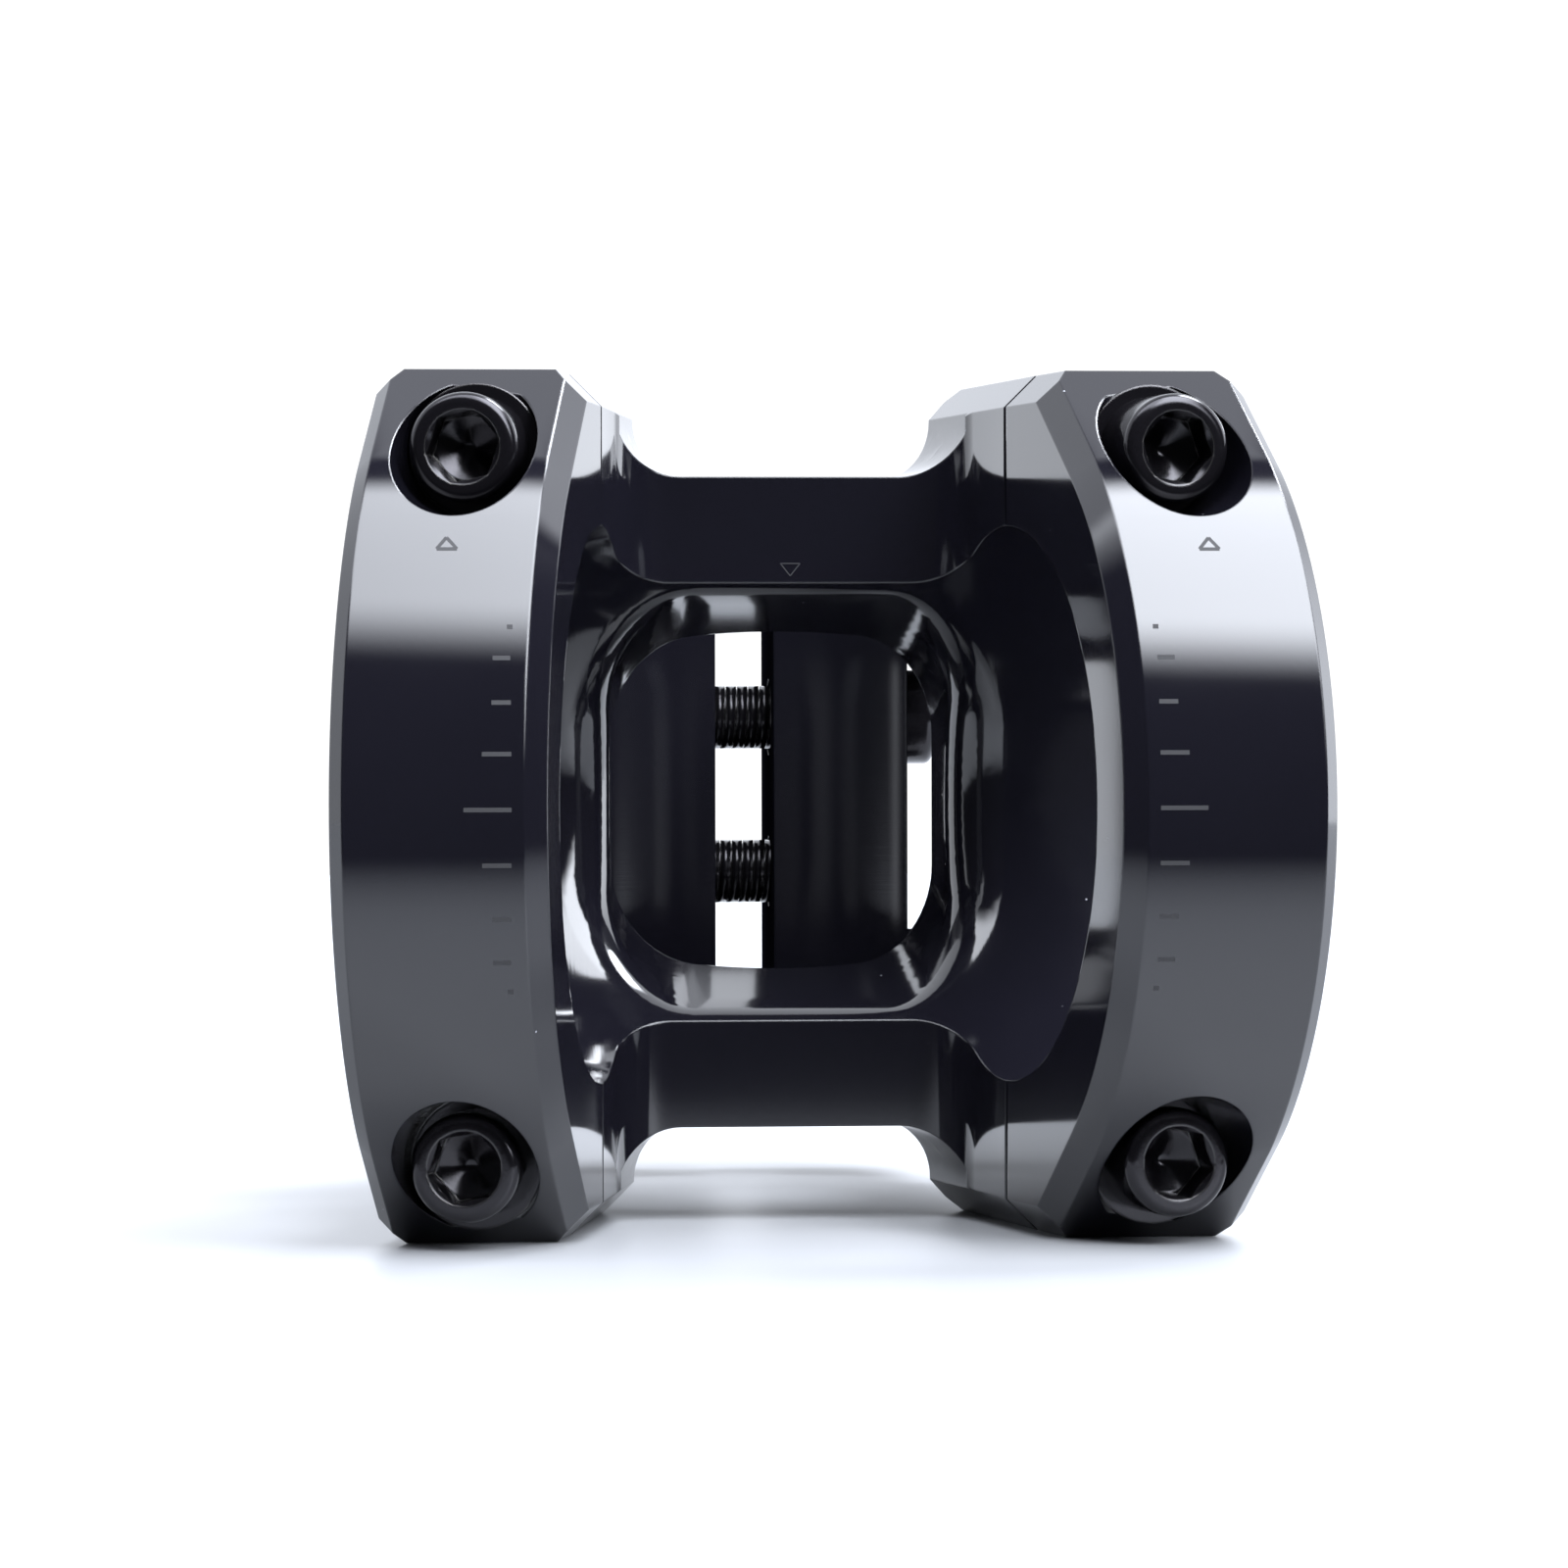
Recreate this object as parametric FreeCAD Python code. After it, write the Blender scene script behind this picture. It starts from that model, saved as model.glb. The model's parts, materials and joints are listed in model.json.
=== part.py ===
import FreeCAD, Part
import math
import os

# Handlebar stem, millimetres. The origin is on the steerer axis at the stem's mid-height.
# +Z runs up the steerer, +X along the handlebar to the rider's left, and -Y points forward.

# Standard sizes that the stem clamps
BAR_RADIUS = 17.5
STEERER_RADIUS = 14.3
REACH = 35.0

# Bar clamp: two flared arms on the body, each closed by its own cap
CLAMP_HALF_HEIGHT = 27.0
SPLIT_GAP = 0.5
INNER_AT_SPLIT = 12.75
OUTER_AT_SPLIT = 25.7
CAP_FLARE = 0.2
ARM_INNER_FLARE = 0.17
CAP_FRONT_RADIUS = 28.0
CAP_FRONT_CENTRE_Y = 5.0 - REACH
CAP_TOP_DEPTH = 5.6
CAP_FACET_ANGLE = 53.0
CAP_INNER_BEVEL = 1.3
CAP_OUTER_BEVEL = 0.9
INNER_CHAMFER = 2.0
OUTER_CHAMFER = 1.6

# Web between the arms, and the window through it
WEB_FACE_Y = 10.3 - REACH
WEB_CORNER_RADIUS = 3.8
WEB_TOP_RADIUS = 3.9
ARM_TOP_END_Y = 17.0 - REACH
ARM_SLOPE_END_Y = -9.0
WINDOW_FRONT = (9.0 - REACH, 12.0, 14.0)
WINDOW_REAR = (26.0 - REACH, 10.75, 9.85)
WINDOW_CORNER_RADIUS = 5.5
WINDOW_LIP_RADIUS = 3.5

# Steerer clamp
STACK_HALF_HEIGHT = 21.0
SHELL_RADIUS = 18.5
EAR_HALF_WIDTH = 14.6
EAR_REAR_Y = 25.2
EAR_CORNER_RADIUS = 4.5
SLOT_WIDTH = 4.15
POCKET_INNER_X = 11.05
POCKET_HALF_HEIGHT = 9.35
POCKET_FRONT_Y = -4.0
POCKET_CORNER_RADIUS = 3.0
FACING_RADIUS = 20.0
RIM_CHAMFER = 0.8

# M5 x 0.8 screws with small cap heads, and their washers
SCREW_RADIUS = 2.5
SCREW_LENGTH = 18.0
SCREW_TIP_CHAMFER = 0.5
HEAD_RADIUS = 3.35
HEAD_HEIGHT = 5.0
HEAD_FACE_RADIUS = 2.7
HEAD_SHOULDER = 0.65
HEX_ACROSS_FLATS = 4.0
HEX_DEPTH = 2.6
HEX_CONE_DEPTH = 1.0
SOCKET_BEVEL = 0.3
WASHER_RADIUS = 4.1
WASHER_HOLE_RADIUS = 2.7
WASHER_THICKNESS = 0.8
COUNTERBORE_RADIUS = 4.3
CLEARANCE_RADIUS = 2.75
TAPPED_RADIUS = 2.55
TAPPED_MARGIN = 1.5

# Faceplate screws: the axis crosses the split plane at this X, and the seat is this far ahead of it
CAP_SCREW_X = 19.3
CAP_SCREW_Z = 21.9
CAP_SEAT_AHEAD = 7.3

# Pinch screws across the slot behind the steerer
PINCH_Y = 19.0
PINCH_Z = 5.5
PINCH_SEAT_X = 8.0

FAR = 80.0


def V(x, y, z):
    return FreeCAD.Vector(x, y, z)


def prism_xy(points, z0, z1):
    """Polygon in plan, extruded upwards."""
    wire = Part.makePolygon([V(x, y, z0) for x, y in points + points[:1]])
    return Part.Face(wire).extrude(V(0, 0, z1 - z0))


def prism_yz(points, x0, x1):
    """Polygon in side view, extruded across."""
    wire = Part.makePolygon([V(x0, y, z) for y, z in points + points[:1]])
    return Part.Face(wire).extrude(V(x1 - x0, 0, 0))


def box(low, high):
    return Part.makeBox(high[0] - low[0], high[1] - low[1], high[2] - low[2], V(*low))


def cylinder(radius, start, direction, length):
    return Part.makeCylinder(radius, length, start, direction)


def mirror_x(shape):
    return shape.mirror(V(0, 0, 0), V(1, 0, 0))


def edges_where(shape, test):
    return [edge for edge in shape.Edges if test(edge)]


def rounded_rectangle(y, half_x, half_z, radius):
    """Closed wire in the plane of constant Y."""
    outline = Part.makePlane(2 * half_x, 2 * half_z, V(-half_x, y, half_z), V(0, 1, 0), V(1, 0, 0))
    solid = outline.extrude(V(0, 1, 0))
    if abs(solid.BoundBox.ZMax - half_z) > 1e-6:
        solid.translate(V(0, 0, half_z - solid.BoundBox.ZMax))
    along_y = edges_where(solid, lambda e: abs(e.BoundBox.YLength - 1.0) < 1e-6)
    solid = solid.makeFillet(radius, along_y)
    face = min(solid.Faces, key=lambda f: f.CenterOfMass.y)
    return face.OuterWire


def inner_x(y):
    """Inner face of the arm at a given Y."""
    return INNER_AT_SPLIT - ARM_INNER_FLARE * (y + REACH)


def screw_direction():
    """Direction in which a right-hand faceplate screw leaves."""
    return V(CAP_FLARE, -1.0, 0).normalize()


def screw_seat(z):
    return V(CAP_SCREW_X + CAP_FLARE * CAP_SEAT_AHEAD, -REACH - CAP_SEAT_AHEAD, z)


def make_screw(seat, direction):
    """Cap screw whose washer lies on the seat; direction points out of the head."""
    head_base = WASHER_THICKNESS
    top = head_base + HEAD_HEIGHT
    shoulder_start = top - HEAD_SHOULDER
    tip = head_base - SCREW_LENGTH
    tip_radius = SCREW_RADIUS - SCREW_TIP_CHAMFER
    middle = V(
        HEAD_FACE_RADIUS + (HEAD_RADIUS - HEAD_FACE_RADIUS) * math.sin(math.radians(45)),
        0,
        shoulder_start + HEAD_SHOULDER * math.sin(math.radians(45)),
    )
    outline = [
        Part.makeLine(V(0, 0, top), V(0, 0, tip)),
        Part.makeLine(V(0, 0, tip), V(tip_radius, 0, tip)),
        Part.makeLine(V(tip_radius, 0, tip), V(SCREW_RADIUS, 0, tip + SCREW_TIP_CHAMFER)),
        Part.makeLine(V(SCREW_RADIUS, 0, tip + SCREW_TIP_CHAMFER), V(SCREW_RADIUS, 0, head_base)),
        Part.makeLine(V(SCREW_RADIUS, 0, head_base), V(HEAD_RADIUS, 0, head_base)),
        Part.makeLine(V(HEAD_RADIUS, 0, head_base), V(HEAD_RADIUS, 0, shoulder_start)),
        Part.Arc(V(HEAD_RADIUS, 0, shoulder_start), middle, V(HEAD_FACE_RADIUS, 0, top)).toShape(),
        Part.makeLine(V(HEAD_FACE_RADIUS, 0, top), V(0, 0, top)),
    ]
    screw = Part.Face(Part.Wire(outline)).revolve(V(0, 0, 0), V(0, 0, 1), 360)
    corner = HEX_ACROSS_FLATS / math.sqrt(3)
    hexagon = [
        (corner * math.cos(math.radians(60 * k)), corner * math.sin(math.radians(60 * k)))
        for k in range(6)
    ]
    socket = prism_xy(hexagon, top - HEX_DEPTH, top + 1)
    cone_tip = V(0, 0, top - HEX_DEPTH - HEX_CONE_DEPTH)
    cone = Part.makeCone(0, HEX_ACROSS_FLATS / 2, HEX_CONE_DEPTH, cone_tip)
    bevel_start = V(0, 0, top - SOCKET_BEVEL)
    bevel = Part.makeCone(corner - SOCKET_BEVEL, corner + SOCKET_BEVEL, 2 * SOCKET_BEVEL, bevel_start)
    screw = screw.cut(socket).cut(cone).cut(bevel)
    return place_along(screw, seat, direction)


def make_washer(seat, direction):
    washer = Part.makeCylinder(WASHER_RADIUS, WASHER_THICKNESS)
    washer = washer.cut(Part.makeCylinder(WASHER_HOLE_RADIUS, WASHER_THICKNESS))
    return place_along(washer, seat, direction)


def place_along(shape, seat, direction):
    turn = FreeCAD.Rotation(V(0, 0, 1), direction)
    shape = shape.copy()
    shape.Placement = FreeCAD.Placement(seat, turn)
    return shape


def make_cap():
    """Right-hand cap: a rounded front between two sloping facets, bevelled along both sides."""
    rear = -REACH - SPLIT_GAP / 2
    top_y = -REACH - CAP_TOP_DEPTH
    facet = math.radians(CAP_FACET_ANGLE)
    facet_distance = (
        (CAP_FRONT_CENTRE_Y - top_y) * math.cos(facet) + CLAMP_HALF_HEIGHT * math.sin(facet)
    )
    crest_angle = facet - math.acos(facet_distance / CAP_FRONT_RADIUS)
    crest_y = CAP_FRONT_CENTRE_Y - CAP_FRONT_RADIUS * math.cos(crest_angle)
    crest_z = CAP_FRONT_RADIUS * math.sin(crest_angle)
    outline = []
    for sign in (1, -1):
        outline.append(Part.makeLine(
            V(0, rear, sign * CLAMP_HALF_HEIGHT), V(0, top_y, sign * CLAMP_HALF_HEIGHT),
        ))
        outline.append(Part.makeLine(
            V(0, top_y, sign * CLAMP_HALF_HEIGHT), V(0, crest_y, sign * crest_z),
        ))
    front = V(0, CAP_FRONT_CENTRE_Y - CAP_FRONT_RADIUS, 0)
    outline.append(Part.Arc(V(0, crest_y, crest_z), front, V(0, crest_y, -crest_z)).toShape())
    outline.append(Part.makeLine(V(0, rear, CLAMP_HALF_HEIGHT), V(0, rear, -CLAMP_HALF_HEIGHT)))
    face = Part.Face(Part.Wire(Part.__sortEdges__(outline)))
    slab = face.extrude(V(FAR, 0, 0))
    length = CAP_FRONT_RADIUS + 5.0
    wedge = [
        (INNER_AT_SPLIT, -REACH),
        (OUTER_AT_SPLIT, -REACH),
        (OUTER_AT_SPLIT + CAP_FLARE * length, -REACH - length),
        (INNER_AT_SPLIT + CAP_FLARE * length, -REACH - length),
    ]
    cap = slab.common(prism_xy(wedge, -FAR, FAR))

    def on_side(edge, x_at_split):
        ends = [edge.valueAt(edge.FirstParameter), edge.valueAt(edge.LastParameter)]
        flat = all(abs(p.x - x_at_split - CAP_FLARE * (-REACH - p.y)) < 1e-4 for p in ends)
        in_front = all(p.y < top_y + 1e-6 for p in ends)
        return flat and in_front

    cap = cap.makeChamfer(CAP_INNER_BEVEL, edges_where(cap, lambda e: on_side(e, INNER_AT_SPLIT)))
    cap = cap.makeChamfer(CAP_OUTER_BEVEL, edges_where(cap, lambda e: on_side(e, OUTER_AT_SPLIT)))
    cap = cap.cut(end_bevels(
        lambda y: INNER_AT_SPLIT + CAP_FLARE * (-REACH - y),
        lambda y: OUTER_AT_SPLIT + CAP_FLARE * (-REACH - y),
        (-REACH - length, -REACH + 5.0),
    ))
    cap = cap.cut(cylinder(BAR_RADIUS, V(0, -REACH, 0), V(1, 0, 0), FAR))
    for sign in (1, -1):
        seat = screw_seat(sign * CAP_SCREW_Z)
        cap = cap.cut(cylinder(COUNTERBORE_RADIUS, seat, screw_direction(), FAR))
        cap = cap.cut(cylinder(CLEARANCE_RADIUS, seat, -screw_direction(), FAR))
    return cap


def make_outer_body():
    """Arms, web and steerer clamp before any hole: plan outline and side outline together."""
    front = -REACH + SPLIT_GAP / 2
    front_x = outer_x(front)
    plan = [(-front_x, front), (front_x, front), (SHELL_RADIUS, 0), (-SHELL_RADIUS, 0)]
    wedge = prism_xy(plan, -FAR, FAR)
    side = []
    for sign in (1, -1):
        half = [
            (front, sign * CLAMP_HALF_HEIGHT),
            (ARM_TOP_END_Y, sign * CLAMP_HALF_HEIGHT),
            (ARM_SLOPE_END_Y, sign * STACK_HALF_HEIGHT),
            (0.0, sign * STACK_HALF_HEIGHT),
        ]
        side += half if sign > 0 else half[::-1]
    wedge = wedge.common(prism_yz(side, -FAR, FAR))
    shell = cylinder(SHELL_RADIUS, V(0, 0, -STACK_HALF_HEIGHT), V(0, 0, 1), 2 * STACK_HALF_HEIGHT)
    shell = shell.makeChamfer(RIM_CHAMFER, edges_where(shell, lambda e: e.BoundBox.ZLength < 1e-3))
    ears = box((-EAR_HALF_WIDTH, 0, -STACK_HALF_HEIGHT), (EAR_HALF_WIDTH, EAR_REAR_Y, STACK_HALF_HEIGHT))
    rear_corners = edges_where(
        ears, lambda e: e.BoundBox.ZLength > STACK_HALF_HEIGHT and e.BoundBox.YMin > EAR_REAR_Y - 1e-3
    )
    ears = ears.makeFillet(EAR_CORNER_RADIUS, rear_corners)
    rims = edges_where(ears, lambda e: e.BoundBox.ZLength < 1e-3 and e.BoundBox.YMax > 1e-3)
    ears = ears.makeChamfer(RIM_CHAMFER, rims)
    return wedge.fuse([shell, ears]).removeSplitter()


def cut_between_arms(body):
    """Opens the body between the arms, down to the web's face, and lowers the web to the stack height."""
    start = -REACH - 5.0
    notch = prism_xy(
        [(-inner_x(start), start), (inner_x(start), start), (inner_x(WEB_FACE_Y), WEB_FACE_Y),
         (-inner_x(WEB_FACE_Y), WEB_FACE_Y)],
        -FAR, FAR,
    )
    corners = edges_where(
        notch, lambda e: e.BoundBox.ZLength > FAR and abs(e.BoundBox.YMin - WEB_FACE_Y) < 1e-3
    )
    body = body.cut(notch.makeFillet(WEB_CORNER_RADIUS, corners))
    sections = []
    for y in (WEB_FACE_Y - 2.0, ARM_SLOPE_END_Y):
        half = inner_x(y)
        low = STACK_HALF_HEIGHT
        bend = WEB_TOP_RADIUS * (1 - math.sin(math.radians(45)))
        sections.append(Part.Wire([
            Part.makeLine(V(-half, y, FAR), V(-half, y, low + WEB_TOP_RADIUS)),
            Part.Arc(V(-half, y, low + WEB_TOP_RADIUS), V(-half + bend, y, low + bend),
                     V(-half + WEB_TOP_RADIUS, y, low)).toShape(),
            Part.makeLine(V(-half + WEB_TOP_RADIUS, y, low), V(half - WEB_TOP_RADIUS, y, low)),
            Part.Arc(V(half - WEB_TOP_RADIUS, y, low), V(half - bend, y, low + bend),
                     V(half, y, low + WEB_TOP_RADIUS)).toShape(),
            Part.makeLine(V(half, y, low + WEB_TOP_RADIUS), V(half, y, FAR)),
            Part.makeLine(V(half, y, FAR), V(-half, y, FAR)),
        ]))
    saddle = Part.makeLoft(sections, True, True)
    facing = cylinder(FACING_RADIUS, V(0, 0, STACK_HALF_HEIGHT), V(0, 0, 1), FAR)
    for cutter in (saddle, facing):
        body = body.cut([cutter, cutter.mirror(V(0, 0, 0), V(0, 0, 1))])
    return body


def outer_x(y):
    """Outer face of the arm at a given Y."""
    return OUTER_AT_SPLIT - (OUTER_AT_SPLIT - SHELL_RADIUS) * (y + REACH) / REACH


def end_bevels(inner, outer, span):
    """Cutters for the straight bevels along the clamp's top and bottom edges, on the right-hand side."""
    cutters = []
    for edge_x, size in ((inner, INNER_CHAMFER), (outer, -OUTER_CHAMFER)):
        sections = []
        for y in span:
            x = edge_x(y)
            points = [
                V(x - size, y, CLAMP_HALF_HEIGHT + abs(size)),
                V(x + 2 * size, y, CLAMP_HALF_HEIGHT + abs(size)),
                V(x - size, y, CLAMP_HALF_HEIGHT - 2 * abs(size)),
            ]
            sections.append(Part.makePolygon(points + points[:1]))
        cutter = Part.makeLoft(sections, True, True)
        cutters += [cutter, cutter.mirror(V(0, 0, 0), V(0, 0, 1))]
    return cutters


def make_window():
    wires = [
        rounded_rectangle(y, half_x, half_z, WINDOW_CORNER_RADIUS)
        for y, half_x, half_z in (WINDOW_FRONT, WINDOW_REAR)
    ]
    return Part.makeLoft(wires, True, True)


def on_window_lip(edge):
    """True for the edges where the window breaks into the handlebar's seat."""
    middle = edge.valueAt((edge.FirstParameter + edge.LastParameter) / 2)
    on_seat = abs(math.hypot(middle.y + REACH, middle.z) - BAR_RADIUS) < 1e-3
    _, half_x, half_z = WINDOW_FRONT
    inside = abs(middle.x) < half_x and abs(middle.z) < half_z
    return on_seat and inside and middle.y > WEB_FACE_Y + 1e-3


def make_side_pocket():
    pocket = box(
        (POCKET_INNER_X, POCKET_FRONT_Y, -POCKET_HALF_HEIGHT), (FAR, FAR, POCKET_HALF_HEIGHT)
    )
    front_edges = edges_where(
        pocket, lambda e: e.BoundBox.XLength > FAR / 2 and e.BoundBox.YMax < POCKET_FRONT_Y + 1e-3
    )
    return pocket.makeFillet(POCKET_CORNER_RADIUS, front_edges)


def make_body():
    body = make_outer_body()
    body = cut_between_arms(body)
    bevels = end_bevels(inner_x, outer_x, (-REACH - 5.0, ARM_SLOPE_END_Y))
    body = body.cut(bevels + [mirror_x(bevel) for bevel in bevels])
    body = body.cut(cylinder(BAR_RADIUS, V(-FAR, -REACH, 0), V(1, 0, 0), 2 * FAR))
    body = body.cut(make_window())
    body = body.makeFillet(WINDOW_LIP_RADIUS, edges_where(body, on_window_lip))
    body = body.cut(cylinder(STEERER_RADIUS, V(0, 0, -FAR), V(0, 0, 1), 2 * FAR))
    body = body.cut(box((-SLOT_WIDTH / 2, 0, -FAR), (SLOT_WIDTH / 2, FAR, FAR)))
    pocket = make_side_pocket()
    body = body.cut([pocket, mirror_x(pocket)])
    tapped_length = SCREW_LENGTH - WASHER_THICKNESS + TAPPED_MARGIN
    for sign in (1, -1):
        hole = cylinder(TAPPED_RADIUS, screw_seat(sign * CAP_SCREW_Z), -screw_direction(), tapped_length)
        body = body.cut([hole, mirror_x(hole)])
        # The upper pinch screw enters from +X, the lower one from -X.
        outward = V(sign, 0, 0)
        seat = V(sign * PINCH_SEAT_X, PINCH_Y, sign * PINCH_Z)
        body = body.cut([
            cylinder(COUNTERBORE_RADIUS, seat, outward, FAR),
            cylinder(CLEARANCE_RADIUS, seat, -outward, PINCH_SEAT_X),
            cylinder(TAPPED_RADIUS, seat, -outward, PINCH_SEAT_X + POCKET_INNER_X + 1),
        ])
    return body.removeSplitter()


def make_parts():
    cap = make_cap()
    parts = {"stem_body": make_body(), "right_faceplate": cap, "left_faceplate": mirror_x(cap)}
    for height, sign in (("upper", 1), ("lower", -1)):
        seat = screw_seat(sign * CAP_SCREW_Z)
        screw = make_screw(seat, screw_direction())
        washer = make_washer(seat, screw_direction())
        parts["right_%s_faceplate_bolt" % height] = screw
        parts["right_%s_faceplate_washer" % height] = washer
        parts["left_%s_faceplate_bolt" % height] = mirror_x(screw)
        parts["left_%s_faceplate_washer" % height] = mirror_x(washer)
        outward = V(sign, 0, 0)
        seat = V(sign * PINCH_SEAT_X, PINCH_Y, sign * PINCH_Z)
        parts["%s_pinch_bolt" % height] = make_screw(seat, outward)
        parts["%s_pinch_washer" % height] = make_washer(seat, outward)
    return parts


os.makedirs("parts", exist_ok=True)
for name, shape in make_parts().items():
    if not shape.isValid() or len(shape.Solids) != 1:
        print("check", name, shape.isValid(), len(shape.Solids))
    shape.exportStep("parts/%s.step" % name)
    print(name, "%.1f mm3" % shape.Volume)
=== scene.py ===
import json
import math

import bmesh
import bpy
from mathutils import Matrix, Vector


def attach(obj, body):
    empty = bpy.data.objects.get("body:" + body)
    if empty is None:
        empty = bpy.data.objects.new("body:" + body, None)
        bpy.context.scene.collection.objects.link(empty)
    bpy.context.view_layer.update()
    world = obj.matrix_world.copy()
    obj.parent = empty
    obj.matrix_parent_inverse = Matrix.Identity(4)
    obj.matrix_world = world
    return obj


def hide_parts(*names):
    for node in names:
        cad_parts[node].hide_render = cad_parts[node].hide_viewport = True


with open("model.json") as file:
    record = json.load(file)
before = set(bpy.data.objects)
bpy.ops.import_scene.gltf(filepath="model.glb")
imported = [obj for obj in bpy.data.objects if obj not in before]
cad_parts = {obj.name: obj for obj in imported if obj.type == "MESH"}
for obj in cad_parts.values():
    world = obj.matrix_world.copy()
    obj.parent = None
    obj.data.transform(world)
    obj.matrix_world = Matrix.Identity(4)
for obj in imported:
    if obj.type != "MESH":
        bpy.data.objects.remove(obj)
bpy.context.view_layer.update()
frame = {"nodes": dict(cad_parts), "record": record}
nodes = frame["nodes"]
collection = bpy.context.scene.collection

# Sizes repeated from the part's design, in metres
MM = 0.001
BAR_AXIS_Y = -35 * MM
BAR_RADIUS = 17.5 * MM
CREST_RADIUS = 28 * MM
CREST_CENTRE_Y = -30 * MM
WEB_FACE_Y = -24.7 * MM
STEERER_RADIUS = 14.3 * MM
THREAD_PITCH = 0.8 * MM
THREAD_CREST = 2.45 * MM
THREAD_ROOT = 2.02 * MM
SHANK_RADIUS = 2.5 * MM
SHANK_END = -17.2 * MM
HEAD_BASE = 0.8 * MM
SLOT_HALF_WIDTH = 2.075 * MM
SLOT_FRONT_Y = 12 * MM
CAP_FLARE = 0.2
CAP_SCREW_X = 19.3 * MM
CAP_SCREW_Z = 21.9 * MM
CAP_SEAT_AHEAD = 7.3 * MM
PINCH_SEAT_X = 8 * MM
PINCH_Y = 19 * MM
PINCH_Z = 5.5 * MM
FLOOR_Z = -27 * MM


# ---------------------------------------------------------------- shader maths

class Value:
    """A node output, with arithmetic that adds Math nodes."""

    def __init__(self, tree, socket):
        self.tree = tree
        self.socket = socket

    def math(self, operation, *others):
        return self.tree.add("ShaderNodeMath", {"operation": operation}, [self, *others])

    def __add__(self, other):
        return self.math("ADD", other)

    __radd__ = __add__

    def __sub__(self, other):
        return self.math("SUBTRACT", other)

    def __rsub__(self, other):
        return self.tree.add("ShaderNodeMath", {"operation": "SUBTRACT"}, [other, self])

    def __mul__(self, other):
        return self.math("MULTIPLY", other)

    __rmul__ = __mul__

    def __truediv__(self, other):
        return self.math("DIVIDE", other)

    def __pow__(self, other):
        return self.math("POWER", other)

    def smooth(self, low, high):
        """0 below low, 1 above high, and eased in between."""
        settings = {"interpolation_type": "SMOOTHSTEP"}
        return self.tree.add("ShaderNodeMapRange", settings, {"Value": self, "From Min": low, "From Max": high})


class Tree:
    """A node tree that is filled by expressions."""

    def __init__(self, node_tree):
        self.nodes = node_tree.nodes
        self.links = node_tree.links
        self.nodes.clear()

    def add(self, kind, settings=None, inputs=None, output=0):
        node = self.nodes.new(kind)
        for name, setting in (settings or {}).items():
            setattr(node, name, setting)
        pairs = inputs.items() if isinstance(inputs, dict) else enumerate(inputs or [])
        for key, value in pairs:
            if isinstance(value, Value):
                self.links.new(value.socket, node.inputs[key])
            elif value is not None:
                node.inputs[key].default_value = value
        return Value(self, node.outputs[output]) if node.outputs else None

    def mix(self, factor, a, b):
        """Blends two colours."""
        settings = {"data_type": "RGBA"}
        return self.add("ShaderNodeMix", settings, {0: factor, 6: colour(a), 7: colour(b)}, 2)

    def place(self):
        """Object coordinates."""
        return self.add("ShaderNodeTexCoord", output=3)

    def parts(self, vector):
        """The X, Y and Z of a vector."""
        split = self.add("ShaderNodeSeparateXYZ", inputs=[vector])
        return [Value(self, split.socket.node.outputs[i]) for i in range(3)]

    def noise(self, vector, scale, detail=2.0, roughness=0.5):
        values = {"Vector": vector, "Scale": scale, "Detail": detail, "Roughness": roughness}
        return self.add("ShaderNodeTexNoise", inputs=values)

    def stretch(self, vector, scale):
        return self.add("ShaderNodeMapping", {"vector_type": "POINT"}, {"Vector": vector, "Scale": scale})

    def bump(self, height, strength, distance, normal=None):
        values = {"Height": height, "Strength": strength, "Distance": distance, "Normal": normal}
        return self.add("ShaderNodeBump", inputs=values)

    def rounded_edges(self, radius):
        return self.add("ShaderNodeBevel", {"samples": 6}, {"Radius": radius})

    def surface(self, shader):
        self.add("ShaderNodeOutputMaterial", inputs={"Surface": shader})


def colour(value):
    """A colour for a socket: a node output, or three numbers with an alpha of 1 added."""
    return value if isinstance(value, Value) else (*value, 1)


def new_material(name):
    material = bpy.data.materials.new(name)
    material.use_nodes = True
    return material, Tree(material.node_tree)


# ---------------------------------------------------------------- finishes

ANODISED_BLACK = (0.0050, 0.0048, 0.0075)
DUST = (0.30, 0.31, 0.34)
COATED_BLACK = (0.014, 0.013, 0.016)
# Lighter steel for the corners of screws and washers: rubbed wear and a painted edge highlight
WORN_STEEL_AND_SHEEN = (0.14, 0.135, 0.13)
ETCHED_DARK = (0.026, 0.026, 0.028)
ETCHED_LIGHT = (0.046, 0.046, 0.049)
FLOOR_DARK = (0.30, 0.31, 0.325)
FLOOR_LIGHT = (0.34, 0.345, 0.355)
DUST_CELLS = 900.0
DUST_SHARE = 0.012
TURNING_MARKS = 9000
MACHINED_EDGE = 0.00018
SCREW_EDGE = 0.00022


def dust_mask(tree, vector, density, share):
    """Sparse specks: the middles of a few cells."""
    cells = tree.add("ShaderNodeTexVoronoi", inputs={"Vector": vector, "Scale": density})
    chosen = tree.add("ShaderNodeSeparateColor", inputs=[Value(tree, cells.socket.node.outputs[1])])
    return (1 - cells.smooth(0.04, 0.09)) * (1 - chosen.smooth(share, share * 1.2))


def close_to(distance, size):
    """1 where a distance equals a size, within a few hundredths of a millimetre."""
    return 1 - (distance - size).math("ABSOLUTE").smooth(0.00002, 0.00008)


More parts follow.
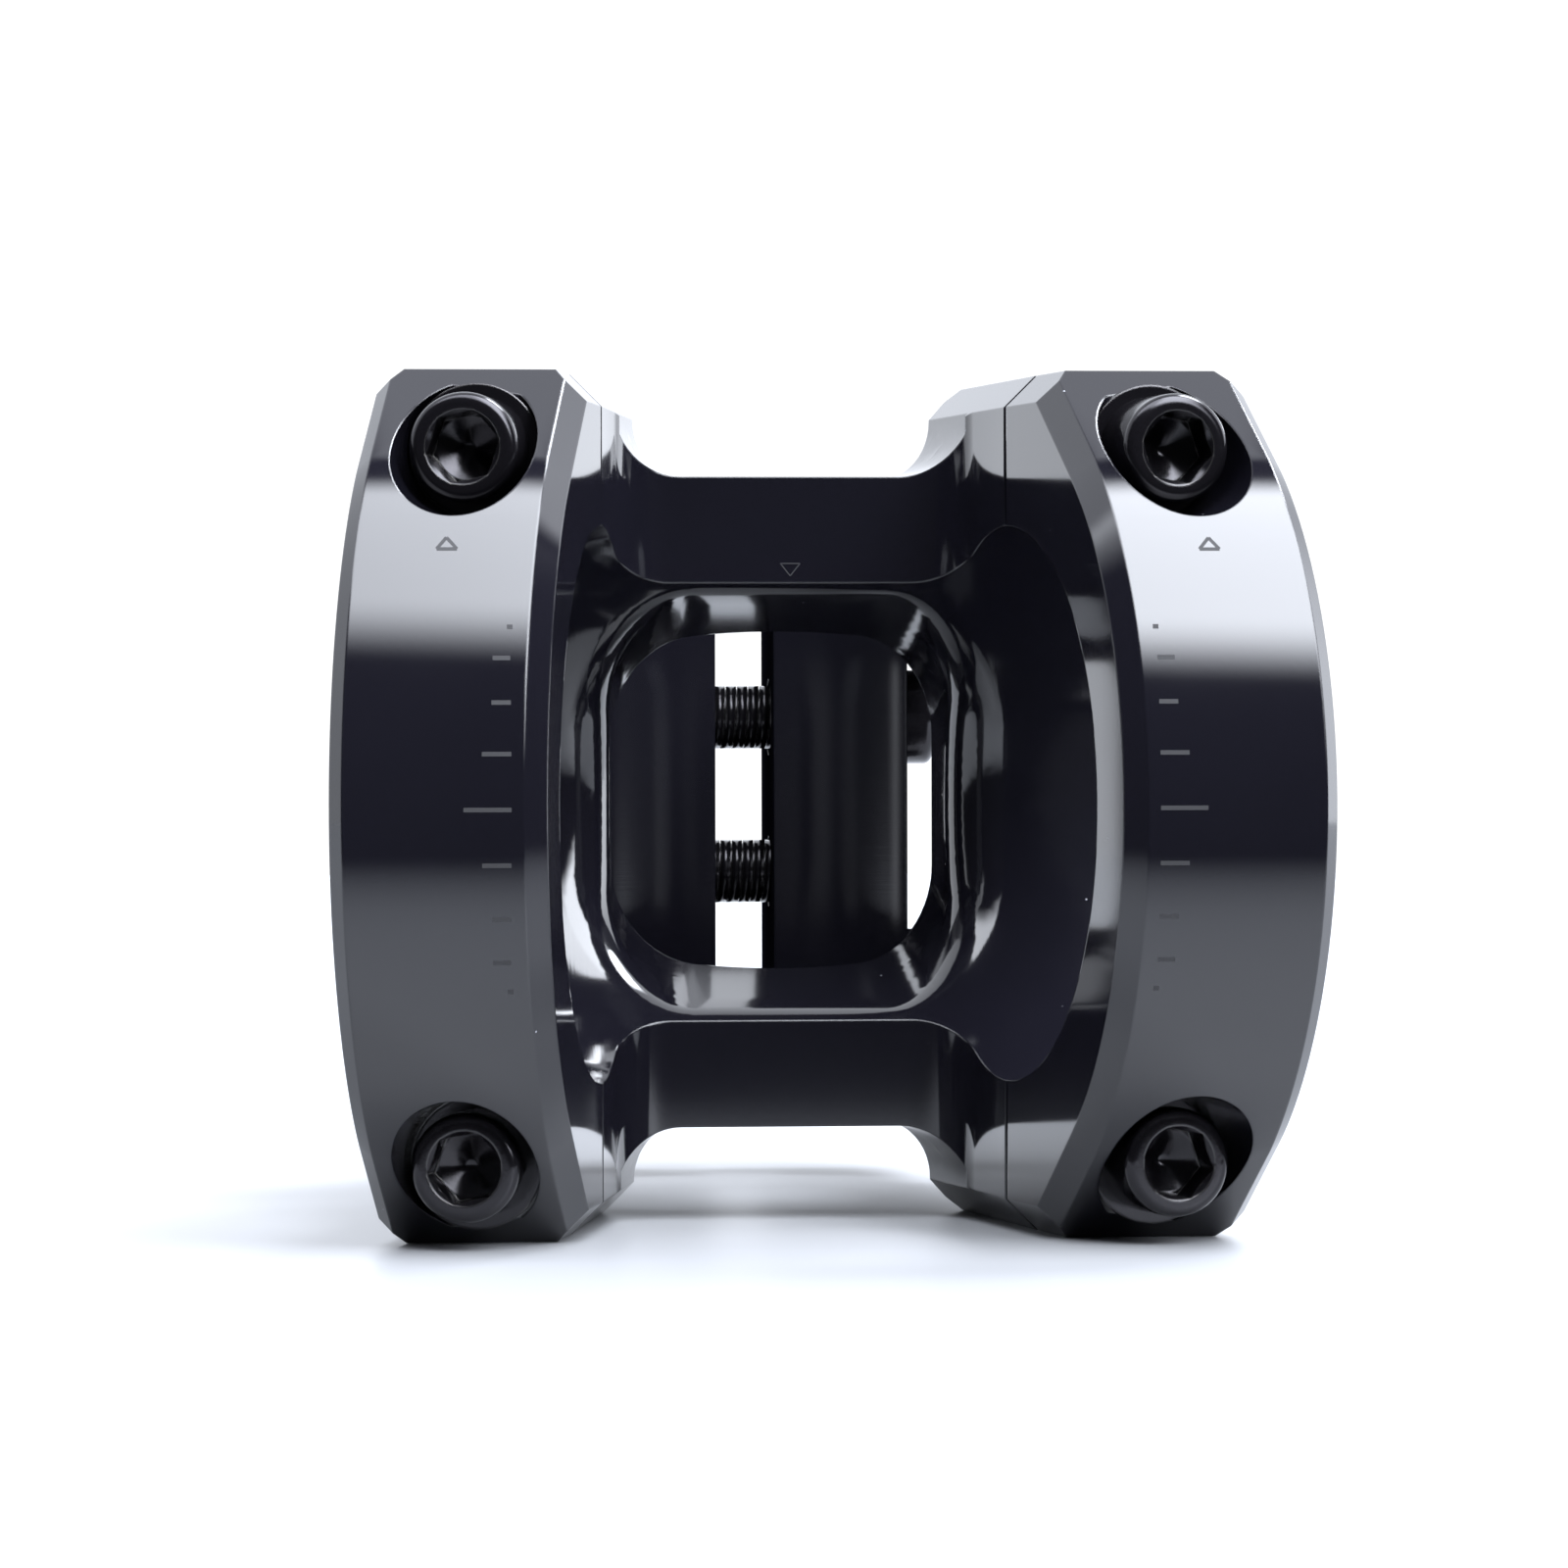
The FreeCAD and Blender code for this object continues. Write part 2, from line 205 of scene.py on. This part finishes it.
def polished_anodising(name):
    """Glossy black with sparse dust; the sawn slot behind the steerer is matt."""
    material, tree = new_material(name)
    vector = tree.place()
    x, y, z = tree.parts(vector)
    cloud = tree.noise(vector, 90.0, 3.0)
    fine = tree.noise(vector, 2600.0, 2.0)
    dust = dust_mask(tree, vector, DUST_CELLS, DUST_SHARE)
    base = tree.mix(cloud, ANODISED_BLACK, [1.25 * c for c in ANODISED_BLACK])
    base = tree.mix(dust, base, DUST)
    # Fine turning marks run round the bar's seat and the steerer's bore.
    on_seat = close_to(((y - BAR_AXIS_Y) ** 2 + z ** 2) ** 0.5, BAR_RADIUS)
    in_bore = close_to((x ** 2 + y ** 2) ** 0.5, STEERER_RADIUS)
    rings = tree.noise(tree.stretch(vector, (TURNING_MARKS, 60, 60)), 1.0, 3.0, 0.6)
    turns = tree.noise(tree.stretch(vector, (60, 60, TURNING_MARKS)), 1.0, 3.0, 0.6)
    height = fine * 0.35 + rings * on_seat * 1.2 + turns * in_bore * 1.2
    roughness = 0.055 + 0.05 * cloud + 0.25 * dust + 0.06 * in_bore
    normal = tree.bump(height, 0.05, 0.00002, tree.rounded_edges(MACHINED_EDGE))
    shader = tree.add("ShaderNodeBsdfPrincipled", inputs={
        "Base Color": base, "Roughness": roughness, "IOR": 1.62, "Normal": normal,
    })
    matt = tree.add("ShaderNodeBsdfDiffuse", inputs={"Color": colour(ANODISED_BLACK)})
    in_slot = close_to(x.math("ABSOLUTE"), SLOT_HALF_WIDTH) * y.smooth(SLOT_FRONT_Y, SLOT_FRONT_Y + 0.0015)
    tree.surface(tree.add("ShaderNodeMixShader", inputs={0: in_slot, 1: shader, 2: matt}))
    return material


def coated_steel(name, wear_and_sheen):
    """Black coated screws and washers, a little brighter at their corners: partly rubbed wear, partly a painted
    edge highlight.
    """
    material, tree = new_material(name)
    vector = tree.place()
    grain = tree.noise(vector, 5200.0, 3.0)
    cloud = tree.noise(vector, 700.0, 2.0)
    edge = tree.rounded_edges(SCREW_EDGE)
    facing = tree.add("ShaderNodeNewGeometry", output=1)
    turned = tree.add("ShaderNodeVectorMath", {"operation": "DOT_PRODUCT"}, [edge, facing], output=1)
    # Every corner gets the lighter steel whatever the light: partly rubbed wear, partly a painted edge
    # highlight
    corner = 1 - turned.smooth(0.80, 0.99)
    rubbed_and_sheen = (corner * (0.35 + cloud)).math("MINIMUM", 1.0) * wear_and_sheen
    base = tree.mix(rubbed_and_sheen, COATED_BLACK, WORN_STEEL_AND_SHEEN)
    roughness = 0.08 + 0.09 * grain + 0.08 * rubbed_and_sheen
    normal = tree.bump(grain, 0.10, 0.00002, edge)
    shader = tree.add("ShaderNodeBsdfPrincipled", inputs={
        "Base Color": base, "Metallic": 0.65, "Roughness": roughness, "Normal": normal, "IOR": 1.7,
    })
    tree.surface(shader)
    return material


def etched_mark(name):
    """Laser etching: a matt grey with a fine broken grain."""
    material, tree = new_material(name)
    vector = tree.place()
    grain = tree.noise(vector, 9000.0, 3.0)
    base = tree.mix(grain, ETCHED_DARK, ETCHED_LIGHT)
    shader = tree.add("ShaderNodeBsdfPrincipled", inputs={
        "Base Color": base, "Roughness": 0.5 + 0.3 * grain, "Specular IOR Level": 0.25,
        "Normal": tree.bump(grain, 0.3, 0.00001),
    })
    tree.surface(shader)
    return material


def pale_floor(name):
    """Smooth and pale, fading out towards its front edge."""
    material, tree = new_material(name)
    vector = tree.place()
    x, y, z = tree.parts(vector)
    grain = tree.noise(vector, 700.0, 4.0)
    cloud = tree.noise(vector, 12.0, 2.0)
    base = tree.mix(cloud, FLOOR_DARK, FLOOR_LIGHT)
    shader = tree.add("ShaderNodeBsdfPrincipled", inputs={
        "Base Color": base, "Roughness": 0.32 + 0.1 * cloud, "IOR": 1.45,
        "Normal": tree.bump(grain, 0.05, 0.0002), "Alpha": y.smooth(-0.165, -0.085),
    })
    tree.surface(shader)
    return material


body_finish = polished_anodising("polished_black_body")
cap_finish = polished_anodising("polished_black_caps")
screw_finish = coated_steel("black_coated_screws", 1.0)
washer_finish = coated_steel("black_coated_washers", 0.5)
mark_finish = etched_mark("etched_marks")

FINISH_OF_SLOT = {
    "anodised_body": body_finish,
    "anodised_caps": cap_finish,
    "black_bolts": screw_finish,
    "black_washers": washer_finish,
}
SLOT_OF_NODE = {row["node"]: row["material_slot"] for row in frame["record"]["subparts"]}


# ---------------------------------------------------------------- carried-over shapes

SHARP_ANGLE = math.radians(24)


def smooth_copy(node):
    """A welded copy of a node with smooth curved faces and sharp corners."""
    name = node + "_smooth"
    mesh = nodes[node].data.copy()
    mesh.name = name
    work = bmesh.new()
    work.from_mesh(mesh)
    bmesh.ops.remove_doubles(work, verts=work.verts, dist=1e-7)
    for face in work.faces:
        face.smooth = True
    for edge in work.edges:
        if len(edge.link_faces) == 2:
            edge.smooth = edge.calc_face_angle(0.0) < SHARP_ANGLE
        else:
            edge.smooth = False
    work.to_mesh(mesh)
    work.free()
    if "custom_normal" in mesh.attributes:
        mesh.attributes.remove(mesh.attributes["custom_normal"])
    piece = bpy.data.objects.new(name, mesh)
    collection.objects.link(piece)
    slot = SLOT_OF_NODE[node]
    mesh.materials.clear()
    mesh.materials.append(FINISH_OF_SLOT[slot])
    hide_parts(node)
    return piece


BODY_OF_NODE = {
    member: body
    for body, members in frame["record"]["behaviour"]["bodies"].items()
    for member in members
}

smooth_pieces = {}
for node in sorted(nodes):
    smooth_pieces[node] = smooth_copy(node)
    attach(smooth_pieces[node], BODY_OF_NODE[node])


# ---------------------------------------------------------------- screw threads

class GeometryTree(Tree):
    """A Geometry Nodes group with named inputs, built by the same expressions."""

    def __init__(self, name, sizes):
        group = bpy.data.node_groups.new(name, "GeometryNodeTree")
        super().__init__(group)
        self.group = group
        group.interface.new_socket("Geometry", in_out="OUTPUT", socket_type="NodeSocketGeometry")
        self.identifiers = {}
        for size_name, kind in sizes.items():
            socket = group.interface.new_socket(size_name, in_out="INPUT", socket_type=kind)
            self.identifiers[size_name] = socket.identifier
        self.entry = self.nodes.new("NodeGroupInput")

    def size(self, name):
        return Value(self, self.entry.outputs[name])

    def finish(self, geometry, material):
        whole = self.add("GeometryNodeRealizeInstances", inputs=[geometry])
        finished = self.add("GeometryNodeSetMaterial", inputs={"Geometry": whole, "Material": material})
        self.add("NodeGroupOutput", inputs=[finished])

    def make(self, name, sizes):
        """A plain mesh object made by the group at these sizes."""
        holder = bpy.data.objects.new(name + "_maker", bpy.data.meshes.new(name + "_maker"))
        collection.objects.link(holder)
        modifier = holder.modifiers.new("maker", "NODES")
        modifier.node_group = self.group
        for size_name, size in sizes.items():
            modifier[self.identifiers[size_name]] = size
        graph = bpy.context.evaluated_depsgraph_get()
        mesh = bpy.data.meshes.new_from_object(holder.evaluated_get(graph))
        bpy.data.objects.remove(holder)
        mesh.name = name
        piece = bpy.data.objects.new(name, mesh)
        collection.objects.link(piece)
        return piece


def thread_maker():
    """A triangular ridge wound along +Z, right-handed, from the base up."""
    number = "NodeSocketFloat"
    tree = GeometryTree("screw_thread", {
        "Pitch": number, "Length": number, "Root Radius": number, "Crest Radius": number,
    })
    turns = tree.size("Length") / tree.size("Pitch")
    root = tree.size("Root Radius")
    helix = tree.add("GeometryNodeCurveSpiral", inputs={
        "Resolution": 28, "Rotations": turns, "Start Radius": root, "End Radius": root,
        "Height": tree.size("Length"),
    })
    upright = tree.add("GeometryNodeSetCurveNormal", {"mode": "Z_UP"}, {"Curve": helix})
    depth = tree.size("Crest Radius") - root
    half_foot = tree.size("Pitch") * 0.46
    half_top = tree.size("Pitch") * 0.07
    buried = depth * -0.5
    outline = ((-1 * half_foot, buried), (-1 * half_top, depth), (half_top, depth), (half_foot, buried))
    corners = {}
    for number_of_corner, (across, out) in enumerate(outline, 1):
        corner = tree.add("ShaderNodeCombineXYZ", inputs={"X": out, "Y": across})
        corners[f"Point {number_of_corner}"] = corner
    profile = tree.add("GeometryNodeCurvePrimitiveQuadrilateral", {"mode": "POINTS"}, corners)
    ridge = tree.add("GeometryNodeCurveToMesh", inputs={
        "Curve": upright, "Profile Curve": profile, "Fill Caps": True,
    })
    tree.finish(ridge, screw_finish)
    return tree


def cap_screw(side, height):
    """Seat and outward direction of a faceplate screw."""
    seat_x = CAP_SCREW_X + CAP_FLARE * CAP_SEAT_AHEAD
    seat = Vector((side * seat_x, BAR_AXIS_Y - CAP_SEAT_AHEAD, height * CAP_SCREW_Z))
    return seat, Vector((side * CAP_FLARE, -1, 0)).normalized()


def pinch_screw(side, height):
    """Seat and outward direction of a pinch screw."""
    return Vector((side * PINCH_SEAT_X, PINCH_Y, height * PINCH_Z)), Vector((side, 0, 0))


SCREWS = {
    "right_upper_faceplate_bolt": cap_screw(1, 1),
    "right_lower_faceplate_bolt": cap_screw(1, -1),
    "left_upper_faceplate_bolt": cap_screw(-1, 1),
    "left_lower_faceplate_bolt": cap_screw(-1, -1),
    "upper_pinch_bolt": pinch_screw(1, 1),
    "lower_pinch_bolt": pinch_screw(-1, -1),
}


def thin_shank(screw, seat, outward):
    """Turns the plain shank down to the thread's root, so that the ridge stands on it."""
    for vertex in screw.data.vertices:
        along = (vertex.co - seat).dot(outward)
        centre = seat + outward * along
        out = vertex.co - centre
        if along < HEAD_BASE + 1e-6 and 1e-6 < out.length < SHANK_RADIUS + 2e-5:
            vertex.co = centre + out * min(1.0, THREAD_ROOT / out.length)


thread = thread_maker()
PLAIN_END = 0.8 * MM
THREAD_SIZES = {
    "Pitch": THREAD_PITCH, "Length": HEAD_BASE - SHANK_END - 2 * PLAIN_END,
    "Root Radius": THREAD_ROOT, "Crest Radius": THREAD_CREST,
}
for name, (seat, outward) in SCREWS.items():
    thin_shank(smooth_pieces[name], seat, outward)
    ridge = thread.make(name + "_thread", THREAD_SIZES)
    foot = seat + outward * (SHANK_END + PLAIN_END)
    turn = outward.to_track_quat("Z", "Y").to_matrix().to_4x4()
    ridge.data.transform(Matrix.Translation(foot) @ turn)
    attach(ridge, BODY_OF_NODE[name])


# ---------------------------------------------------------------- etched marks

MARK_PROUD = 0.006 * MM
MARK_SUNK = 0.05 * MM
LINE_WIDTH = 0.27 * MM


def crest_point(x, z):
    return Vector((x, CREST_CENTRE_Y - math.sqrt(CREST_RADIUS ** 2 - z ** 2), z))


def web_point(x, z):
    return Vector((x, WEB_FACE_Y, z))


def crest_normal(point):
    return (point - Vector((point.x, CREST_CENTRE_Y, 0))).normalized()


def web_normal(point):
    return Vector((0, -1, 0))


def add_line(work, start, end, width, on_surface, normal_at):
    """One closed bar along a short straight line that lies on a surface."""
    along = (Vector(end) - Vector(start)).normalized()
    across = Vector((-along.y, along.x)) * (width / 2)
    corners = [
        Vector(start) - across, Vector(end) - across, Vector(end) + across, Vector(start) + across,
    ]
    rings = []
    for lift in (-MARK_SUNK, MARK_PROUD):
        ring = []
        for corner in corners:
            point = on_surface(corner.x, corner.y)
            ring.append(work.verts.new(point + normal_at(point) * lift))
        rings.append(ring)
    low, high = rings
    work.faces.new(low[::-1])
    work.faces.new(high)
    for i in range(4):
        j = (i + 1) % 4
        work.faces.new((low[i], low[j], high[j], high[i]))


def finish_marks(work, name, body):
    bmesh.ops.recalc_face_normals(work, faces=work.faces)
    mesh = bpy.data.meshes.new(name)
    work.to_mesh(mesh)
    work.free()
    mesh.materials.append(mark_finish)
    piece = bpy.data.objects.new(name, mesh)
    collection.objects.link(piece)
    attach(piece, body)


def add_triangle(work, x, z, width, height, line, on_surface, normal_at):
    """An outlined arrowhead; a negative height points it down."""
    corners = [(x - width / 2, z), (x + width / 2, z), (x, z + height)]
    for start, end in zip(corners, corners[1:] + corners[:1]):
        add_line(work, start, end, line, on_surface, normal_at)


# Height above the middle, and length, of each alignment line on a cap, in millimetres
CAP_LINES = [
    (0, 2.85), (3.3, 1.75), (-3.3, 1.75), (6.35, 1.15), (-6.5, 1.15), (9.0, 1.05), (-9.1, 1.05),
]
CAP_DOT_Z = 10.85 * MM
CAP_DOT_HALF = 0.17 * MM
LINE_START_X = 19.35 * MM
# Place, width, height and line width of the arrowheads
CAP_ARROW_X = 23.0 * MM
CAP_ARROW = (15.55 * MM, 1.22 * MM, 0.7 * MM, 0.2 * MM)
WEB_ARROW = (15.4 * MM, 1.27 * MM, -0.8 * MM, 0.07 * MM)

for body, side in (("right_cap", 1), ("left_cap", -1)):
    work = bmesh.new()
    start_x = side * LINE_START_X
    for height, length in CAP_LINES:
        z = height * MM
        left, right = sorted((start_x, start_x + side * length * MM))
        add_line(work, (left, z), (right, z), LINE_WIDTH, crest_point, crest_normal)
    for z in (CAP_DOT_Z, -CAP_DOT_Z):
        left, right = start_x - CAP_DOT_HALF, start_x + CAP_DOT_HALF
        add_line(work, (left, z), (right, z), LINE_WIDTH, crest_point, crest_normal)
    add_triangle(work, side * CAP_ARROW_X, *CAP_ARROW, crest_point, crest_normal)
    finish_marks(work, body + "_marks", body)

work = bmesh.new()
add_triangle(work, 0, *WEB_ARROW, web_point, web_normal)
finish_marks(work, "web_mark", "stem")


# ---------------------------------------------------------------- floor, light and camera

FLOOR_CORNERS = [(-0.6, -0.17), (0.6, -0.17), (0.6, 0.9), (-0.6, 0.9)]
FLOOR_GAP = 0.02 * MM
floor_mesh = bpy.data.meshes.new("floor")
floor_points = [(x, y, FLOOR_Z - FLOOR_GAP) for x, y in FLOOR_CORNERS]
floor_mesh.from_pydata(floor_points, [], [(0, 1, 2, 3)])
floor = bpy.data.objects.new("floor", floor_mesh)
collection.objects.link(floor)
floor_mesh.materials.append(pale_floor("pale_floor"))


def band(value, low, low_end, high_start, high):
    """1 between low_end and high_start, eased to 0 at low and high."""
    return value.smooth(low, low_end) * (1 - value.smooth(high_start, high))


SEEN_STRENGTH = 1.15
COOL_WHITE = (0.93, 0.97, 1.05)
PURE_WHITE = (1, 1, 1)


def studio_world():
    """White for the eye. For light: soft boxes above and to the right, dark in front, white behind."""
    world = bpy.data.worlds.new("studio")
    bpy.context.scene.world = world
    world.use_nodes = True
    tree = Tree(world.node_tree)
    direction = tree.add("ShaderNodeTexCoord", output=0)
    x, y, z = tree.parts(direction)
    # Degrees up from the front: 0 ahead, 90 overhead, 180 behind
    tilt = z.math("ARCTAN2", -1 * y) * (180 / math.pi)
    sideways = x.math("ABSOLUTE")
    box = (tilt + 45 * x).smooth(38, 56) * (1 - tilt.smooth(86, 94)) * (1 - sideways.smooth(0.5, 0.8))
    box = box * (7.9 + 7.7 * x.smooth(-0.05, 0.2))
    behind = (y - 0.1 * x).smooth(-0.05, 0.06) * (1 - z.smooth(0.82, 0.97))
    back_wall = (1.6 + 3.0 * x.smooth(0.6, 0.95)) * behind
    rear_roof = 1.4 * band(tilt, 99, 107, 130, 165) * (1 - sideways.smooth(0.6, 0.9)) * (1 - behind)
    key = 34 * band(tilt, 98, 106, 118, 128) * band(x, 0.28, 0.38, 0.58, 0.68)
    seen = tree.add("ShaderNodeLightPath", output=0)
    strength = (0.03 + box + back_wall + rear_roof + key) * (1 - seen) + SEEN_STRENGTH * seen
    tint = tree.mix(seen, COOL_WHITE, PURE_WHITE)
    background = tree.add("ShaderNodeBackground", inputs={"Color": tint, "Strength": strength})
    tree.add("ShaderNodeOutputWorld", inputs={"Surface": background})


studio_world()

scene = bpy.context.scene
scene.view_settings.view_transform = "Standard"

CAMERA_PLACE = (-34.1 * MM, -429.9 * MM, 5.2 * MM)
CAMERA_LENS = 144.5
CAMERA_YAW = math.radians(4.75)
CAMERA_PITCH = math.radians(-0.57)
CAMERA_ROLL = math.radians(-0.12)
camera_data = bpy.data.cameras.new("camera")
camera_data.sensor_width = 36.0
camera_data.lens = CAMERA_LENS
camera_data.clip_start = 0.01
camera = bpy.data.objects.new("camera", camera_data)
collection.objects.link(camera)
camera.location = CAMERA_PLACE
turn = Matrix.Rotation(-CAMERA_YAW, 4, "Z") @ Matrix.Rotation(math.pi / 2 + CAMERA_PITCH, 4, "X")
camera.rotation_euler = (turn @ Matrix.Rotation(CAMERA_ROLL, 4, "Z")).to_euler()
scene.camera = camera
